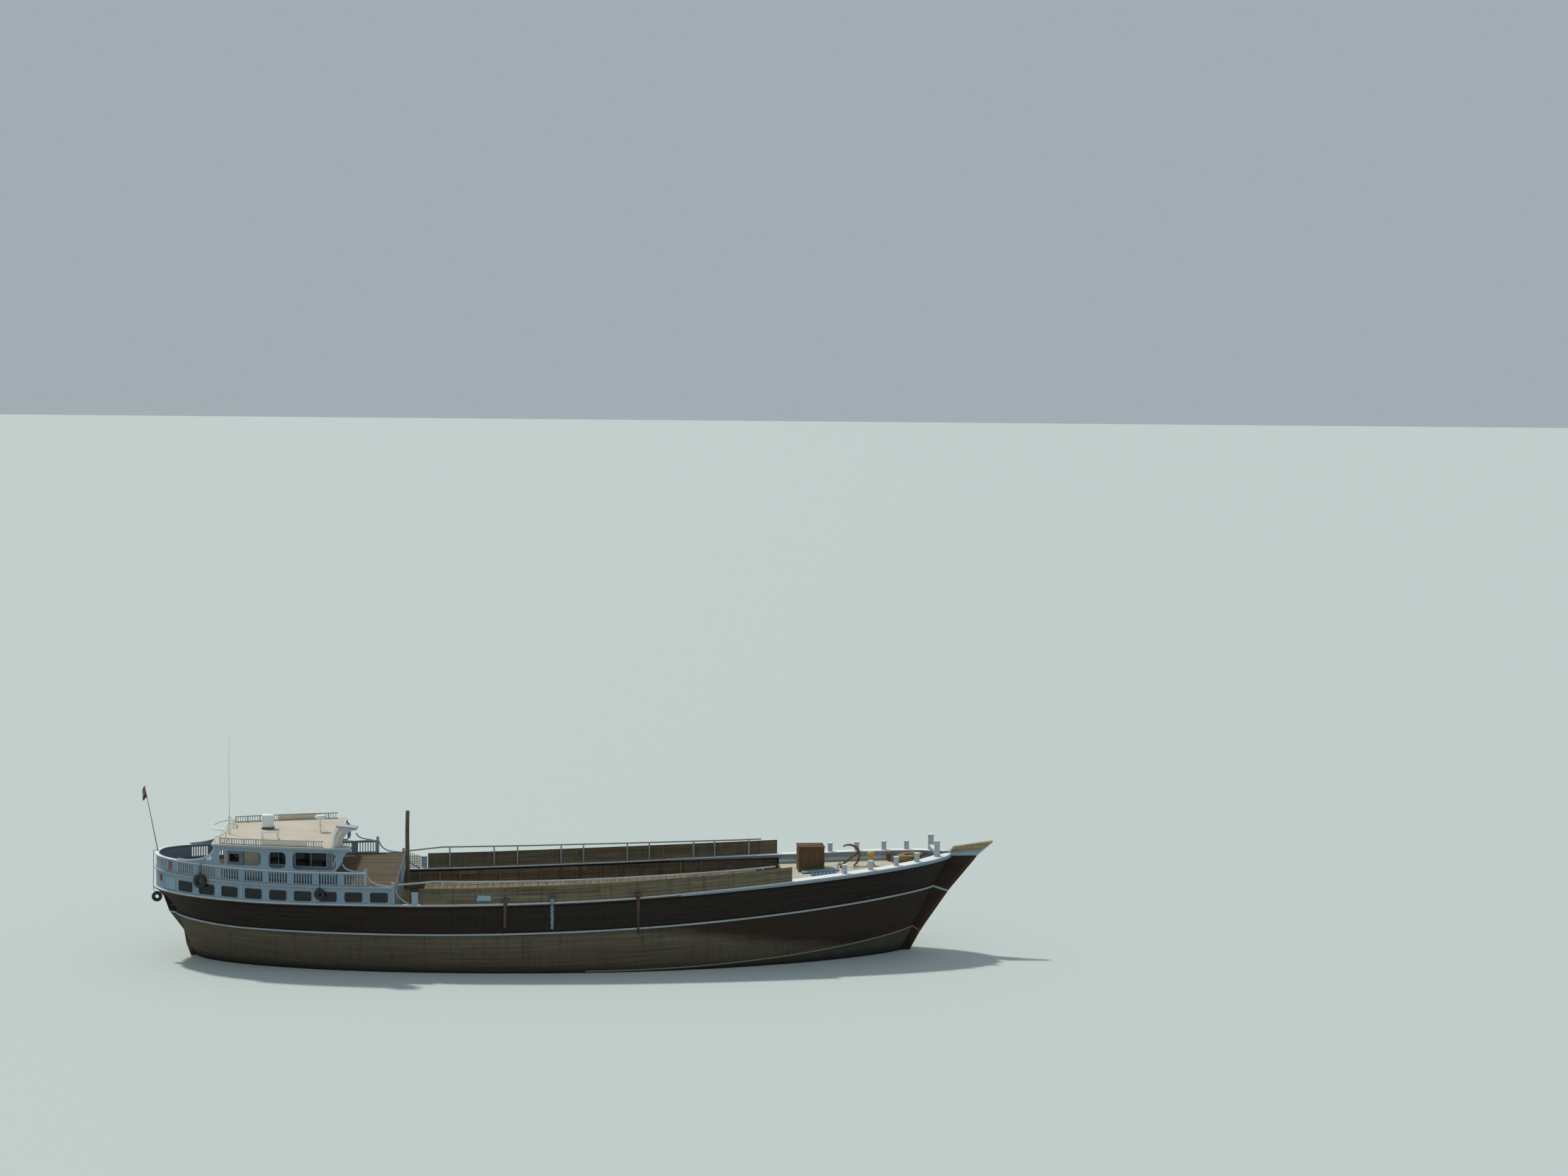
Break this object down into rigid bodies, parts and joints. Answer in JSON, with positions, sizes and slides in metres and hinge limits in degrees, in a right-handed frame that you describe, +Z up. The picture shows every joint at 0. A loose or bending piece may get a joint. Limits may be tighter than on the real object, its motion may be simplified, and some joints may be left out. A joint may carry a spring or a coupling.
{
  "type": "wooden cargo dhow, 1:2 scale model",
  "caption": "Scale model of a wooden motor cargo dhow: full hull, covered hatch, windowed poop with galleries, deckhouse, stump mast, rudder and propeller.",
  "frame": {"origin": "on the waterline, on the centreline, halfway between the stern rail and the stem cap", "axes": "+X to the bow, +Y to port, +Z up"},
  "size_m": [25.3486, 7.053, 8.395],
  "materials": {
    "weathered_planks": "weathered bare planking",
    "tarred_planks": "dark tarred planking",
    "pale_blue_paint": "brushed pale blue paint on timber",
    "white_paint": "brushed white paint on timber",
    "cream_paint": "brushed cream paint on timber",
    "deck_boards": "bare scrubbed boards",
    "rough_boards": "rough brown boards",
    "spar": "oiled pole",
    "ochre_iron": "rusty ochre paint",
    "bronze": "cast bronze",
    "white_metal": "white enamel",
    "tyre_rubber": "worn black rubber",
    "rope": "laid natural fibre",
    "flag_cloth": "woven bunting"
  },
  "bodies": {
    "hull": {"keel": "weathered_planks", "stem_post": "tarred_planks", "stern_post": "tarred_planks", "hull_bottom": "weathered_planks", "topside_starboard": "tarred_planks", "topside_port": "tarred_planks", "main_deck": "deck_boards", "foredeck": "deck_boards", "hatch_coaming": "rough_boards", "hatch_cover": "rough_boards", "sheer_rail": "white_paint", "wale_starboard": "white_paint", "wale_port": "white_paint", "weather_boards_starboard": "rough_boards", "weather_boards_port": "rough_boards", "guard_rail_starboard": "white_paint", "guard_rail_port": "white_paint", "poop_wall_starboard": "pale_blue_paint", "poop_wall_port": "pale_blue_paint", "balustrade_starboard": "pale_blue_paint", "balustrade_port": "pale_blue_paint", "poop_deck": "deck_boards", "poop_mid_rail": "white_paint", "poop_top_rail": "white_paint", "poop_bulkhead": "pale_blue_paint", "gallery_wall_starboard": "pale_blue_paint", "gallery_wall_port": "pale_blue_paint", "deckhouse_wall_starboard": "pale_blue_paint", "deckhouse_wall_port": "pale_blue_paint", "wheelhouse_front": "pale_blue_paint", "deckhouse_aft_wall": "pale_blue_paint", "roof": "cream_paint", "roof_parapet_starboard": "white_paint", "roof_parapet_port": "white_paint", "sidelight_hood": "white_paint", "roof_locker": "cream_paint", "radar_mast": "white_metal", "antenna": "white_metal", "aft_roof_rail": "white_metal", "helm_stand": "rough_boards", "mast": "spar", "bow_bitts": "white_paint", "stem_head": "white_paint", "stem_cap": "deck_boards", "bollard": "ochre_iron", "anchor": "ochre_iron", "companion_house": "rough_boards", "tyre_fender_1": "tyre_rubber", "tyre_fender_2": "tyre_rubber", "tyre_fender_3": "tyre_rubber", "flagstaff": "spar", "flag": "flag_cloth", "rope_coil": "rope"},
    "propeller_body": {"propeller": "bronze"},
    "rudder_body": {"rudder": "weathered_planks"},
    "helm": {"helm_wheel": "rough_boards"},
    "house_door_starboard": {"deckhouse_door_starboard": "cream_paint"},
    "house_door_port": {"deckhouse_door_port": "cream_paint"},
    "crew_door": {"poop_door": "cream_paint"},
    "hatchway_door": {"companion_door": "rough_boards"}
  },
  "joints": [
    {"name": "propeller_turn", "type": "hinge", "parent": "hull", "child": "propeller_body", "pos_m": [-10.88, 0, -1.06], "axis": [1, 0, 0], "continuous": true},
    {"name": "rudder_turn", "type": "hinge", "parent": "hull", "child": "rudder_body", "pos_m": [-11.33, 0, -0.9], "axis": [0, 0, 1], "range_deg": [-35, 35]},
    {"name": "helm_turn", "type": "hinge", "parent": "hull", "child": "helm", "pos_m": [-7.5873, 0, 3.04], "axis": [1, 0, 0], "range_deg": [-421, 421]},
    {"name": "house_door_starboard_swing", "type": "hinge", "parent": "hull", "child": "house_door_starboard", "pos_m": [-9.271, -1.81154, 3.06], "axis": [0, 0, 1], "range_deg": [0, 90]},
    {"name": "house_door_port_swing", "type": "hinge", "parent": "hull", "child": "house_door_port", "pos_m": [-9.271, 1.81154, 3.06], "axis": [0, 0, -1], "range_deg": [0, 90]},
    {"name": "crew_door_swing", "type": "hinge", "parent": "hull", "child": "crew_door", "pos_m": [-5.305, -1.489, 1.93], "axis": [0, 0, -1], "range_deg": [0, 100]},
    {"name": "hatchway_door_swing", "type": "hinge", "parent": "hull", "child": "hatchway_door", "pos_m": [7.379, 0.45, 2.7], "axis": [0, 0, 1], "range_deg": [0, 100]}
  ],
  "couplings": [
    {"joint": "helm_turn", "follows": "rudder_turn", "ratio": 12}
  ]
}
